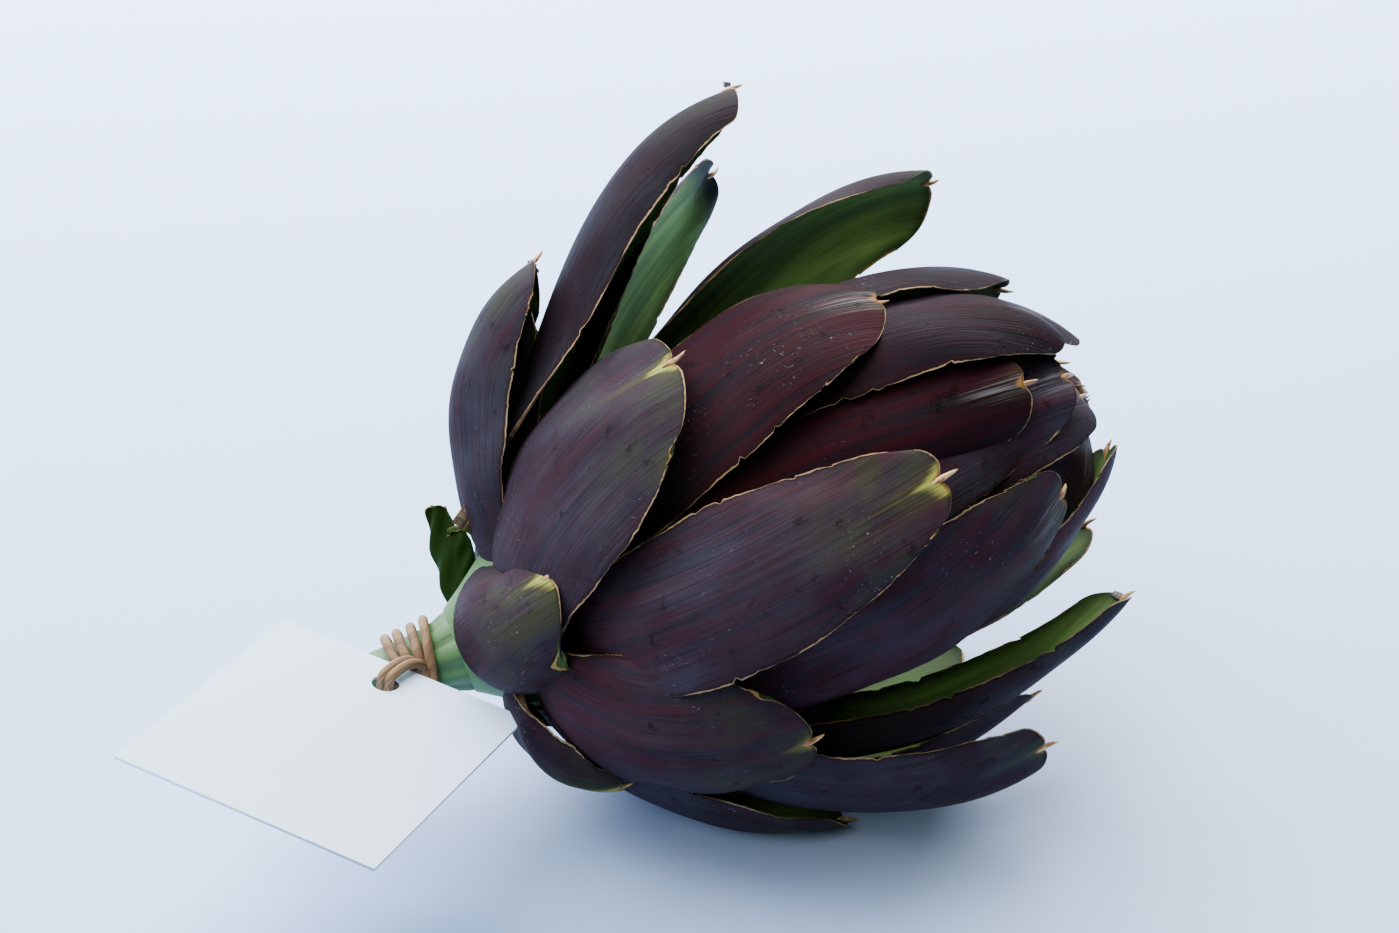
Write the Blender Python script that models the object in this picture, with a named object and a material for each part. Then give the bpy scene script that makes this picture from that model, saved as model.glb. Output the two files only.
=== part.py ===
# Purple artichoke lying on its side, with a blank card tag tied to its short stem.
# Blender 4.5, metres, +Z up. Lengths written with MM are millimetres.
import math

import bmesh
import bpy
from mathutils import Vector

MM = 0.001

# The head's own frame: its axis runs from the stem to the tip of the head
BASE = Vector((-30.9, -12.1, 35.0)) * MM  # centre of the foot, where the stem meets the head
HEAD_YAW = math.radians(17.0)
HEAD_PITCH = math.radians(15.0)
FRONT_ELEVATION = math.radians(33.0)  # azimuth 0 round the head looks forward and this far up

# Receptacle and the tight heart of the head: distance along the axis, radius
CORE_PROFILE = ((-5.0, 8.0), (-1.0, 11.0), (5.0, 15.5), (14.0, 22.0), (26.0, 28.0), (40.0, 31.5),
                (56.0, 32.5), (70.0, 32.0), (82.0, 30.0), (93.0, 26.0), (102.0, 20.0), (108.0, 12.0))
CORE_SIDES = 20

# Each bract: azimuth round the head, root (along, out), length along the midrib, full width, the angle
# from the axis at its root, middle and tip, and the radius of its cupped section at root and tip, in mm
# and degrees. Twist turns it round the head along its length and roll turns its face.
OUTER_BRACTS = {
    "tall_upper": dict(azimuth=88, root=(3, 17), length=101, width=41, open=(45, 68, -0), cup=(27, 14),
                       twist=2, roll=22, roll_root=-18, blunt=0.67, rounding=0.7),
    "tall_behind": dict(azimuth=103, root=(8, 14), length=95, width=31, open=(49, 53, 29), cup=(13, 18),
                        twist=18, roll_root=-2, blunt=0.61, rounding=0.8),
    "wing_behind": dict(azimuth=107, root=(10, 19), length=113, width=34, open=(37, 24, 2), cup=(25, 19),
                        twist=16, roll=3, roll_root=-10, blunt=0.54, rounding=0.9),
    "collar_upper": dict(azimuth=80, root=(5, 11), length=63, width=36, open=(96, 73, 10), cup=(16, 10),
                         twist=6, roll=-9, roll_root=-2, blunt=0.72, rounding=0.7),
    "shoulder_upper": dict(azimuth=46, root=(5, 12), length=58, width=49, open=(74, 38, -10), cup=(22, 29),
                           twist=9, roll=-5, roll_root=4, blunt=0.74, rounding=0.6, base=0.8),
    "front": dict(azimuth=-14, root=(11, 24), length=78, width=30, open=(58, 9, -3), cup=(37, 21),
                  twist=12, roll=-6, roll_root=-7, blunt=0.48, rounding=0.8, base=0.45),
    "shoulder_lower": dict(azimuth=-49, root=(5, 17), length=56, width=43, open=(85, 26, -2), cup=(22, 21),
                           twist=-2, roll_root=-3, blunt=0.58, rounding=0.7),
    "foot_front": dict(azimuth=-96, root=(4, 15), length=65, width=34, open=(74, 48, 5), cup=(20, 18),
                       roll=1, blunt=0.70, rounding=0.7),
    "splayed_lower": dict(azimuth=-78, root=(9, 16), length=92, width=27, open=(57, 39, -12), cup=(20, 25),
                          twist=5, roll=-18, roll_root=-3, blunt=0.62, rounding=0.6),
    "splayed_mid": dict(azimuth=-100, root=(11, 18), length=112, width=29, open=(47, 16, -32), cup=(11, 9),
                        twist=10, roll=2, roll_root=4, blunt=0.64, rounding=0.8),
    "splayed_under": dict(azimuth=-106, root=(8, 18), length=96, width=26, open=(60, 23, -22),
                          cup=(17, 17), twist=8, roll=-12, roll_root=-5, blunt=0.73, rounding=0.7),
    "inner_under": dict(azimuth=-138, root=(14, 21), length=108, width=24, open=(37, 9, -29), cup=(25, 20),
                        twist=6, roll=-2, roll_root=-2, blunt=0.68, rounding=0.9),
    "upper_body": dict(azimuth=34, root=(17, 24), length=75, width=36, open=(34, 30, -35), cup=(26, 30),
                       twist=21, roll=2, roll_root=-2, blunt=0.76, rounding=0.9),
    "middle_body": dict(azimuth=16, root=(24, 28), length=82, width=30, open=(22, 1, -22), cup=(24, 9),
                        twist=-2, roll=6, roll_root=1, blunt=0.64, rounding=0.7),
    "lower_body": dict(azimuth=-47, root=(24, 30), length=85, width=33, open=(19, 10, -44), cup=(34, 24),
                       twist=11, roll=-2, roll_root=5, blunt=0.58, rounding=0.9),
    # the side turned away from the front
    "foot_behind": dict(azimuth=-146, root=(4, 15), length=62, width=36, open=(78, 50, 8), cup=(20, 18)),
    "splayed_behind": dict(azimuth=-142, root=(8, 18), length=93, width=34, open=(50, 34, 0), cup=(18, 15)),
    "collar_behind": dict(azimuth=152, root=(2, 13), length=58, width=34, open=(86, 52, 6), cup=(20, 18)),
    "back_low": dict(azimuth=-174, root=(5, 15), length=66, width=40, open=(76, 36, -8), cup=(24, 24)),
    "back_high": dict(azimuth=136, root=(14, 22), length=80, width=38, open=(46, 10, -16), cup=(28, 22)),
    "back_mid": dict(azimuth=166, root=(12, 21), length=86, width=38, open=(52, 14, -14), cup=(30, 24)),
}
SMALL_BRACTS = {
    "foot_knob": dict(azimuth=8, root=(-5, 8), length=26, width=37, open=(73, 34, -12), cup=(14, 10),
                      twist=9, roll=-7, roll_root=-4, blunt=0.62, rounding=0.7),
    "foot_lower": dict(azimuth=-76, root=(-1, 11), length=31, width=26, open=(103, 66, 7), cup=(16, 16),
                       roll=-1, roll_root=-1, blunt=0.70, rounding=0.7),
    "foot_back": dict(azimuth=-150, root=(-2, 10), length=34, width=28, open=(92, 50, 0), cup=(16, 16)),
    "ear": dict(azimuth=104, root=(-4, 7), length=20, width=12, open=(88, 65, 45), cup=(6, 5)),
    "ear_low": dict(azimuth=86, root=(-4, 8), length=15, width=10, open=(80, 60, 40), cup=(5, 4)),
}
BODY_BRACTS = {
    "crown_top": dict(azimuth=75, root=(32, 31), length=85, width=33, open=(8, 28, -52), cup=(31, 22),
                      twist=7, roll=-1, roll_root=-2, blunt=0.80, rounding=0.9),
    "crown_upper": dict(azimuth=52, root=(31, 30), length=92, width=27, open=(16, 13, -56), cup=(27, 24),
                        twist=-1, roll=5, roll_root=-8, blunt=0.58, rounding=0.8),
    "crown_front": dict(azimuth=2, root=(39, 29), length=83, width=35, open=(16, 1, -53), cup=(34, 19),
                        twist=22, roll=9, blunt=0.73, rounding=0.8),
    "crown_high": dict(azimuth=54, root=(41, 29), length=84, width=28, open=(15, 6, -56), cup=(32, 20),
                       roll=-8, roll_root=-6, blunt=0.65, rounding=0.7),
    "crown_lower": dict(azimuth=-49, root=(44, 29), length=85, width=26, open=(9, 14, -76), cup=(24, 22),
                        twist=4, roll=-2, roll_root=-1, blunt=0.84, rounding=0.8),
    "crown_under": dict(azimuth=-74, root=(39, 28), length=88, width=30, open=(7, 14, -59), cup=(36, 28),
                        twist=-3, roll=3, roll_root=3, blunt=0.72, rounding=0.8),
    "body_under": dict(azimuth=-110, root=(26, 28), length=82, width=36, open=(20, 2, -40), cup=(30, 20)),
    "body_behind_low": dict(azimuth=-136, root=(28, 30), length=84, width=38, open=(22, 4, -38),
                            cup=(32, 22)),
    "body_behind": dict(azimuth=-168, root=(24, 29), length=84, width=40, open=(24, 4, -34), cup=(33, 24)),
    "body_behind_high": dict(azimuth=152, root=(30, 30), length=84, width=38, open=(20, 4, -40),
                             cup=(32, 22)),
    "body_behind_top": dict(azimuth=116, root=(26, 29), length=86, width=38, open=(24, 5, -38),
                            cup=(32, 22)),
    "crown_behind": dict(azimuth=-152, root=(38, 30), length=86, width=32, open=(14, 0, -56), cup=(32, 18)),
    "crown_behind_high": dict(azimuth=172, root=(40, 30), length=86, width=31, open=(12, 0, -58),
                              cup=(32, 18)),
    "crown_behind_top": dict(azimuth=128, root=(40, 30), length=86, width=31, open=(12, 0, -56),
                             cup=(32, 18)),
}

# The heart's own small bracts close over its tip, a golden angle apart
GOLDEN_ANGLE = 137.5
HEART_COUNT = 6
HEART_FIRST_AZIMUTH = 30.0
HEART_ROOT = (57.0, 27.0)
HEART_STEP = 1.6  # each root this much further along
HEART_LENGTH = 70.0
HEART_SHORTER = 1.92  # each shorter than the last by this much
HEART_WIDTH = 26.0
HEART_OPEN = (4.0, -6.0, -62.0)
HEART_CUP = (28.0, 14.0)

WIDEST_AT = 0.5  # share of a bract's length where it is widest
ROOT_WIDTH = 0.62  # width at the root, as a share of the full width, unless the bract says otherwise
TIP_WIDTH = 0.7  # width at the tip, likewise
ROOT_THICKNESS = 6.0  # a bract is fleshy where it joins the head
ROOT_REACH = 0.35  # the fleshy part of its length
BLADE_THICKNESS = 1.6
MARGIN_SHARE = 0.5  # thickness at its margins, as a share of the middle's
ROUNDING = 0.7  # of a tip, unless the bract says otherwise: 1 makes it a half circle
MIDRIB_STEPS = 24
SPINE_LENGTH = 3.5
SPINE_RADIUS = 0.8
SPINE_SUNK = 2.5  # of the spine's foot in the tip
SPINE_FROM = 0.95  # the spine carries on the line of the midrib from here

BODY_START = 0.22  # the body's bracts are sunk in the head up to this share of their length
HEART_START = 0.3
OUTER_GRID = (4, 7)  # faces across and along
BODY_GRID = (4, 4)
SMALL_GRID = (4, 4)
HEART_GRID = (4, 3)

# Stem: along the axis, shift away from the front, radius
STEM_ROUTE = ((-40.0, 4.2, 5.6), (-32.0, 2.8, 5.6), (-24.0, 1.6, 5.7), (-17.0, 0.7, 5.8), (-11.0, 0.2, 6.1),
              (-8.0, 0.0, 6.6), (-5.3, 0.0, 7.6))
STEM_SIDES_RESOLUTION = 4

# Tie: a fibre strand wound round the stem and looped through the tag's hole
STRAND_RADIUS = 0.9
STRAND_RESOLUTION = 2
TURNS = ((-15.6, -1.0), (-13.9, -0.4), (-12.0, 0.4), (-10.4, 1.4))  # along the stem, tilt forward at the top
TURN_CLEARANCE = 0.5  # between a turn and the stem
TURN_POINTS = 16
LOOP_SPREAD = 0.75  # half the distance between the loop's two strands
# One loop: along the tag's top edge from its middle, below that edge, above the card's middle layer
LOOP_ROUTE = ((0.0, 6.0, -1.7), (0.0, 6.0, 0.0), (0.0, 5.6, 1.7), (0.6, 1.5, 2.2), (1.6, -1.2, 1.5),
              (2.0, -2.0, 0.1), (1.2, -0.9, -1.8), (0.4, 3.5, -2.2))

# Tag: a card a little above the stem, turned and tilted
TAG_CENTRE = Vector((-24.5, -33.3, 4.3))  # from the head's foot
TAG_YAW = math.radians(-24.7)
TAG_PITCH = math.radians(-7.0)
TAG_ROLL = math.radians(6.8)
TAG_WIDTH = 49.5
TAG_HEIGHT = 51.4
TAG_THICKNESS = 0.6
TAG_HOLE_RADIUS = 2.5
TAG_HOLE_INSET = 6.0  # hole centre below the top edge
TAG_HOLE_SIDES = 24
TAG_CLIPPED = 3.2  # the corner beside the head is cut off by this much

GROUND_SIDE = 0.4  # metres, the block that levels the lowest bracts
SAME_POINT = 0.00001  # metres
SHARP_FROM = math.radians(40.0)

AXIS = Vector((math.cos(HEAD_PITCH) * math.cos(HEAD_YAW), math.cos(HEAD_PITCH) * math.sin(HEAD_YAW),
               math.sin(HEAD_PITCH)))
LOOK = Vector((0.0, -math.cos(FRONT_ELEVATION), math.sin(FRONT_ELEVATION)))
FRONT = (LOOK - LOOK.dot(AXIS) * AXIS).normalized()
OVER = AXIS.cross(FRONT)
OVER = OVER if OVER.z > 0 else -OVER


def out_from_axis(azimuth):
    """Unit vector out of the head's axis at an azimuth in radians."""
    return math.cos(azimuth) * FRONT + math.sin(azimuth) * OVER


def round_axis(azimuth):
    return -math.sin(azimuth) * FRONT + math.cos(azimuth) * OVER


def clear_scene():
    for thing in list(bpy.data.objects):
        bpy.data.objects.remove(thing, do_unlink=True)


def material(name, colour, roughness):
    made = bpy.data.materials.new(name)
    made.use_nodes = True
    shader = made.node_tree.nodes["Principled BSDF"]
    shader.inputs["Base Color"].default_value = (*colour, 1.0)
    shader.inputs["Roughness"].default_value = roughness
    return made


def midrib(shape, share):
    """Distance along the axis, distance out, and angle from the axis, at a share of the bract's length."""
    first, middle, last = (math.radians(angle) for angle in shape["open"])
    along, out = shape["root"]
    step = share / MIDRIB_STEPS
    for i in range(MIDRIB_STEPS):
        g = (i + 0.5) * step
        angle = first * (1 - g) ** 2 + 2 * middle * g * (1 - g) + last * g * g
        along += math.cos(angle) * shape["length"] * step
        out += math.sin(angle) * shape["length"] * step
    angle = first * (1 - share) ** 2 + 2 * middle * share * (1 - share) + last * share * share
    return along, out, angle


def half_width(shape, share):
    base, blunt = shape.get("base", ROOT_WIDTH), shape.get("blunt", TIP_WIDTH)
    if share < WIDEST_AT:
        return shape["width"] / 2 * (base + (1 - base) * math.sin(math.pi / 2 * share / WIDEST_AT))
    past = (share - WIDEST_AT) / (1 - WIDEST_AT)
    return shape["width"] / 2 * (1 - (1 - blunt) * past ** 2)


def bract_point(shape, across, share, inside):
    """A point of the bract's outer face, or of its inner face, in metres."""
    stand_back = shape.get("rounding", ROUNDING) * (1 - math.sqrt(1 - 0.985 * across * across))
    tip_half = shape["width"] / 2 * shape.get("blunt", TIP_WIDTH)
    trimmed = share - share ** 4 * tip_half / shape["length"] * stand_back
    along, out, angle = midrib(shape, trimmed)
    azimuth = math.radians(shape["azimuth"] + shape.get("twist", 0) * trimmed)
    radius = shape["cup"][0] + (shape["cup"][1] - shape["cup"][0]) * trimmed
    turned = half_width(shape, share) * across / radius
    outward, sideways = out_from_axis(azimuth), round_axis(azimuth)
    normal = math.cos(angle) * outward - math.sin(angle) * AXIS
    roll = math.radians(shape.get("roll", 0) * trimmed + shape.get("roll_root", 0))
    flat = math.cos(roll) * sideways + math.sin(roll) * normal
    normal = math.cos(roll) * normal - math.sin(roll) * sideways
    point = along * AXIS + out * outward
    point += radius * math.sin(turned) * flat - radius * (1 - math.cos(turned)) * normal
    if inside:
        fleshy = max(0.0, 1 - share / ROOT_REACH) ** 2
        middle = BLADE_THICKNESS + (ROOT_THICKNESS - BLADE_THICKNESS) * fleshy
        face = math.cos(turned) * normal + math.sin(turned) * flat
        point -= middle * (1 - (1 - MARGIN_SHARE) * across * across) * face
    return BASE + point * MM


def bract(name, shape, grid, start=0.0):
    """One closed blade: a grid laid on the outer face and carried through to the inner face."""
    across_faces, along_faces = grid
    bm = bmesh.new()
    bmesh.ops.create_grid(bm, x_segments=across_faces, y_segments=along_faces, size=1.0)
    bmesh.ops.triangulate(bm, faces=bm.faces[:])
    outer = {vert: vert.co.copy() for vert in bm.verts}
    extruded = bmesh.ops.extrude_face_region(bm, geom=bm.faces[:], use_keep_orig=True)
    inner = {item: item.co.copy() for item in extruded["geom"] if isinstance(item, bmesh.types.BMVert)}
    for placed, inside in ((outer, False), (inner, True)):
        for vert, spot in placed.items():
            across = round(spot.x * across_faces / 2) * 2 / across_faces
            share = start + (1 - start) * round((spot.y + 1) / 2 * along_faces) / along_faces
            vert.co = bract_point(shape, across, share, inside)
    return finished(name, bm)


def spine(name, shape):
    """A three-sided spike at the middle of the bract's tip."""
    back, tip = ((bract_point(shape, 0.0, share, False) + bract_point(shape, 0.0, share, True)) / 2
                 for share in (SPINE_FROM, 1.0))
    forward = (tip - back).normalized()
    bm = bmesh.new()
    length = SPINE_LENGTH + SPINE_SUNK
    bmesh.ops.create_cone(bm, cap_ends=True, segments=3, radius1=SPINE_RADIUS * MM, radius2=0.0,
                          depth=length * MM)
    turn = forward.to_track_quat("Z", "Y").to_matrix()
    centre = tip + forward * (length / 2 - SPINE_SUNK) * MM
    for vert in bm.verts:
        vert.co = centre + turn @ vert.co
    return finished(name, bm)


def finished(name, bm):
    """A new object from a closed mesh, its faces turned outwards."""
    bmesh.ops.recalc_face_normals(bm, faces=bm.faces[:])
    if bm.calc_volume(signed=True) < 0:
        bmesh.ops.reverse_faces(bm, faces=bm.faces[:])
    mesh = bpy.data.meshes.new(name)
    bm.to_mesh(mesh)
    bm.free()
    made = bpy.data.objects.new(name, mesh)
    bpy.context.scene.collection.objects.link(made)
    return made


def heart_shape(number):
    return dict(
        azimuth=HEART_FIRST_AZIMUTH + GOLDEN_ANGLE * number,
        root=(HEART_ROOT[0] + HEART_STEP * number, HEART_ROOT[1]),
        length=HEART_LENGTH - HEART_SHORTER * number,
        width=HEART_WIDTH,
        open=HEART_OPEN,
        cup=HEART_CUP,
    )


def core():
    """The receptacle and the packed heart, one turned body on the head's axis."""
    bm = bmesh.new()
    along = [a for a, _ in CORE_PROFILE]
    bmesh.ops.create_cone(bm, cap_ends=True, segments=CORE_SIDES, radius1=1, radius2=1, depth=2)
    side_edges = [edge for edge in bm.edges if abs(edge.verts[0].co.z - edge.verts[1].co.z) > 1]
    bmesh.ops.subdivide_edges(bm, edges=side_edges, cuts=len(along) - 2)
    for vert in bm.verts:
        ring = round((vert.co.z + 1) / 2 * (len(along) - 1))
        distance, radius = CORE_PROFILE[ring]
        azimuth = math.atan2(vert.co.y, vert.co.x)
        vert.co = BASE + (distance * AXIS + radius * out_from_axis(azimuth)) * MM
    return finished("core", bm)


def united(target, others):
    """Target with the others joined to it, as one evaluated mesh. The others are removed."""
    gathered = bpy.data.collections.new("gathered")
    bpy.context.scene.collection.children.link(gathered)
    for other in others:
        gathered.objects.link(other)
    join = target.modifiers.new("join", "BOOLEAN")
    join.operation = "UNION"
    join.operand_type = "COLLECTION"
    join.collection = gathered
    join.solver = "MANIFOLD"
    bpy.context.view_layer.update()
    joined = bpy.data.meshes.new_from_object(target.evaluated_get(bpy.context.evaluated_depsgraph_get()))
    target.modifiers.clear()
    target.data = joined
    for other in others:
        bpy.data.objects.remove(other, do_unlink=True)
    bpy.data.collections.remove(gathered)
    return target


def cut_flat(target):
    """Level the undersides of the lowest bracts where the head rests."""
    bm = bmesh.new()
    bmesh.ops.create_cube(bm, size=GROUND_SIDE)
    for vert in bm.verts:
        vert.co.z -= GROUND_SIDE / 2
    ground = finished("ground_cutter", bm)
    cut = target.modifiers.new("rest", "BOOLEAN")
    cut.operation = "DIFFERENCE"
    cut.object = ground
    cut.solver = "MANIFOLD"
    bpy.context.view_layer.update()
    levelled = bpy.data.meshes.new_from_object(target.evaluated_get(bpy.context.evaluated_depsgraph_get()))
    target.modifiers.clear()
    target.data = levelled
    bpy.data.objects.remove(ground, do_unlink=True)


def signed_volume(faces):
    return sum(face.verts[0].co.dot(face.verts[1].co.cross(face.verts[2].co)) for face in faces) / 6


def keep_one_body(target):
    """Drop loose scraps and fill sealed hollows: only the largest outward-facing shell stays."""
    bm = bmesh.new()
    bm.from_mesh(target.data)
    bmesh.ops.triangulate(bm, faces=bm.faces[:])
    left = set(bm.faces)
    shells = []
    while left:
        shell, front = set(), [left.pop()]
        while front:
            face = front.pop()
            shell.add(face)
            for edge in face.edges:
                for beside in edge.link_faces:
                    if beside in left:
                        left.remove(beside)
                        front.append(beside)
        shells.append(shell)
    body = max(shells, key=signed_volume)
    bmesh.ops.delete(bm, geom=[face for face in bm.faces if face not in body], context="FACES")
    bm.to_mesh(target.data)
    bm.free()
    print(target.name, "shells", len(shells), "faces", len(target.data.polygons))


def head():
    blades = []
    for shapes, grid, start in ((OUTER_BRACTS, OUTER_GRID, 0.0), (SMALL_BRACTS, SMALL_GRID, 0.0),
                                (BODY_BRACTS, BODY_GRID, BODY_START)):
        blades += [bract(name, shape, grid, start) for name, shape in shapes.items()]
        blades += [spine(name + "_spine", shape) for name, shape in shapes.items()]
    blades += [bract(f"heart_{i}", heart_shape(i), HEART_GRID, HEART_START) for i in range(HEART_COUNT)]
    whole = united(core(), blades)
    whole.name = "head"
    cut_flat(whole)
    keep_one_body(whole)
    return whole


def tube(name, points, radius, resolution, cyclic=False, radii=None):
    """A mesh tube with filled ends along points given in metres."""
    curve = bpy.data.curves.new(name, "CURVE")
    curve.dimensions = "3D"
    curve.bevel_depth = radius * MM
    curve.bevel_resolution = resolution
    curve.use_fill_caps = not cyclic
    spline = curve.splines.new("POLY")
    spline.points.add(len(points) - 1)
    for i, point in enumerate(points):
        spline.points[i].co = (*point, 1.0)
        spline.points[i].radius = radii[i] if radii else 1.0
    spline.use_cyclic_u = cyclic
    guide = bpy.data.objects.new(name + "_guide", curve)
    bpy.context.scene.collection.objects.link(guide)
    bpy.context.view_layer.update()
    mesh = bpy.data.meshes.new_from_object(guide.evaluated_get(bpy.context.evaluated_depsgraph_get()))
    bpy.data.objects.remove(guide, do_unlink=True)
    bm = bmesh.new()
    bm.from_mesh(mesh)
    bmesh.ops.remove_doubles(bm, verts=bm.verts[:], dist=SAME_POINT)
    return finished(name, bm)


def stem_at(along):
    """The stem's shift and radius at a distance along the head's axis."""
    for (a0, s0, r0), (a1, s1, r1) in zip(STEM_ROUTE, STEM_ROUTE[1:]):
        if along <= a1:
            share = (along - a0) / (a1 - a0)
            return s0 + (s1 - s0) * share, r0 + (r1 - r0) * share
    return STEM_ROUTE[-1][1:]


def stem_spot(along, toward_front=0.0, over=0.0):
    """A point beside the stem's centre line, in metres, at a distance along the head's axis."""
    return BASE + (along * AXIS + (toward_front - stem_at(along)[0]) * FRONT + over * OVER) * MM


def stem():
    points = [stem_spot(along) for along, _, _ in STEM_ROUTE]
    radii = [radius for _, _, radius in STEM_ROUTE]
    return tube("stem", points, 1.0, STEM_SIDES_RESOLUTION, radii=radii)


def tag_axes():
    """Unit vectors along the tag's top edge, down its face, and up out of it."""
    side = Vector((math.cos(TAG_YAW), math.sin(TAG_YAW), 0.0)) * math.cos(TAG_ROLL)
    side.z = -math.sin(TAG_ROLL)
    down = Vector((math.sin(TAG_YAW), -math.cos(TAG_YAW), 0.0)) * math.cos(TAG_PITCH)
    down.z = -math.sin(TAG_PITCH)
    side = (side - side.dot(down) * down).normalized()
    return side, down, down.cross(side)


def tag_spot(side_mm, down_mm, up_mm):
    """A point of the tag in metres: along its top edge, down from its centre, and above its face."""
    side, down, up = tag_axes()
    return BASE + (TAG_CENTRE + side_mm * side + down_mm * down + up_mm * up) * MM


def tie():
    """Turns of the strand round the stem, and the double loop through the tag's hole."""
    parts = []
    for i, (along, tilt) in enumerate(TURNS):
        ring = []
        for k in range(TURN_POINTS):
            angle = 2 * math.pi * k / TURN_POINTS
            lean = along + tilt * math.sin(angle)
            radius = stem_at(lean)[1] + STRAND_RADIUS + TURN_CLEARANCE
            ring.append(stem_spot(lean, radius * math.cos(angle), radius * math.sin(angle)))
        parts.append(tube(f"turn_{i}", ring, STRAND_RADIUS, STRAND_RESOLUTION, cyclic=True))
    for i, spread in enumerate((-LOOP_SPREAD, LOOP_SPREAD)):
        loop = [tag_spot(spread + side, below - TAG_HEIGHT / 2, up) for side, below, up in LOOP_ROUTE]
        parts.append(tube(f"loop_{i}", loop, STRAND_RADIUS, STRAND_RESOLUTION, cyclic=True))
    whole = united(parts[0], parts[1:])
    whole.name = "tie"
    keep_one_body(whole)
    return whole


def tag():
    """A square card with a round hole near its top edge."""
    half_w, half_h = TAG_WIDTH / 2, TAG_HEIGHT / 2
    outline = [(-half_w, half_h), (half_w - TAG_CLIPPED, half_h), (half_w, half_h - TAG_CLIPPED),
               (half_w, -half_h), (-half_w, -half_h)]
    hole = [(TAG_HOLE_RADIUS * math.cos(2 * math.pi * k / TAG_HOLE_SIDES),
             half_h - TAG_HOLE_INSET + TAG_HOLE_RADIUS * math.sin(2 * math.pi * k / TAG_HOLE_SIDES))
            for k in range(TAG_HOLE_SIDES)]
    curve = bpy.data.curves.new("tag", "CURVE")
    curve.dimensions = "2D"
    curve.fill_mode = "BOTH"
    curve.extrude = TAG_THICKNESS / 2 * MM
    for corners in (outline, hole):
        spline = curve.splines.new("POLY")
        spline.points.add(len(corners) - 1)
        for point, (x, y) in zip(spline.points, corners):
            point.co = (x * MM, y * MM, 0.0, 1.0)
        spline.use_cyclic_u = True
    guide = bpy.data.objects.new("tag_guide", curve)
    bpy.context.scene.collection.objects.link(guide)
    bpy.context.view_layer.update()
    mesh = bpy.data.meshes.new_from_object(guide.evaluated_get(bpy.context.evaluated_depsgraph_get()))
    bpy.data.objects.remove(guide, do_unlink=True)
    bm = bmesh.new()
    bm.from_mesh(mesh)
    bmesh.ops.remove_doubles(bm, verts=bm.verts[:], dist=SAME_POINT)
    for vert in bm.verts:
        vert.co = tag_spot(vert.co.x / MM, -vert.co.y / MM, vert.co.z / MM)
    return finished("tag", bm)


def main():
    clear_scene()
    parts = bpy.data.collections.new("artichoke")
    bpy.context.scene.collection.children.link(parts)
    looks = {
        "head": material("purple bract skin", (0.045, 0.022, 0.050), 0.5),
        "stem": material("green stem skin", (0.16, 0.25, 0.06), 0.55),
        "tie": material("plant fibre strand", (0.42, 0.25, 0.11), 0.7),
        "tag": material("white card", (0.80, 0.84, 0.88), 0.6),
    }
    for made in (head(), stem(), tie(), tag()):
        made.data.materials.clear()
        made.data.materials.append(looks[made.name])
        made.data.shade_smooth()
        made.data.set_sharp_from_angle(angle=SHARP_FROM)
        parts.objects.link(made)
        bpy.context.scene.collection.objects.unlink(made)


main()
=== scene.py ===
import math

import bpy
import numpy as np
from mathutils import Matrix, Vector


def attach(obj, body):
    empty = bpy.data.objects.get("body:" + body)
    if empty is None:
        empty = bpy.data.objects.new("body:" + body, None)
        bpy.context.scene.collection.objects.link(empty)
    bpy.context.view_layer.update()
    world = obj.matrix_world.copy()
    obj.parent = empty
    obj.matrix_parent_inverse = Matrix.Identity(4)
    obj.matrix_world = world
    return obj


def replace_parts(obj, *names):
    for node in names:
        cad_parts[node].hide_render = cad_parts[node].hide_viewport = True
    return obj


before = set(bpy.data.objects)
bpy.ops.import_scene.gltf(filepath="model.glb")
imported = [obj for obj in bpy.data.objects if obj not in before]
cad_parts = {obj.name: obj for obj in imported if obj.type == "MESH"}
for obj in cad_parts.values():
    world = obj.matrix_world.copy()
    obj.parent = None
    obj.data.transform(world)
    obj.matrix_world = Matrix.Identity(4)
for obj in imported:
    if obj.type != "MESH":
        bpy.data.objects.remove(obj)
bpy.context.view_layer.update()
bpy.ops.object.select_all(action="DESELECT")
print("frame loaded")

mm = 0.001

# The head's own frame, as in the CAD: its axis runs from the stem to the tip of the head
headFoot = np.array((-30.9, -12.1, 35.0))  # mm
headYaw = math.radians(17.0)
headPitch = math.radians(15.0)
cameraElevation = math.radians(33.0)
headAxis = np.array((math.cos(headPitch) * math.cos(headYaw), math.cos(headPitch) * math.sin(headYaw),
                     math.sin(headPitch)))
towardCamera = np.array((0.0, -math.cos(cameraElevation), math.sin(cameraElevation)))
frontWay = towardCamera - towardCamera.dot(headAxis) * headAxis
frontWay /= np.linalg.norm(frontWay)
overWay = np.cross(headAxis, frontWay)
overWay *= np.sign(overWay[2])


# Node helpers

def linearColour(hexColour):
    parts = [int(hexColour[i:i + 2], 16) / 255 for i in (1, 3, 5)]
    return tuple(p / 12.92 if p <= 0.04045 else ((p + 0.055) / 1.055) ** 2.4 for p in parts) + (1.0,)


def addNode(tree, kind, inputs=None, **settings):
    made = tree.nodes.new(kind)
    for name, value in settings.items():
        setattr(made, name, value)
    for key, value in (inputs or {}).items():
        if isinstance(value, bpy.types.NodeSocket):
            tree.links.new(value, made.inputs[key])
        else:
            made.inputs[key].default_value = value
    return made


def attributeOf(tree, name):
    return addNode(tree, "ShaderNodeAttribute", attribute_name=name).outputs["Fac"]


def calc(tree, operation, first, second=0.0):
    return addNode(tree, "ShaderNodeMath", {0: first, 1: second}, operation=operation).outputs[0]


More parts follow.
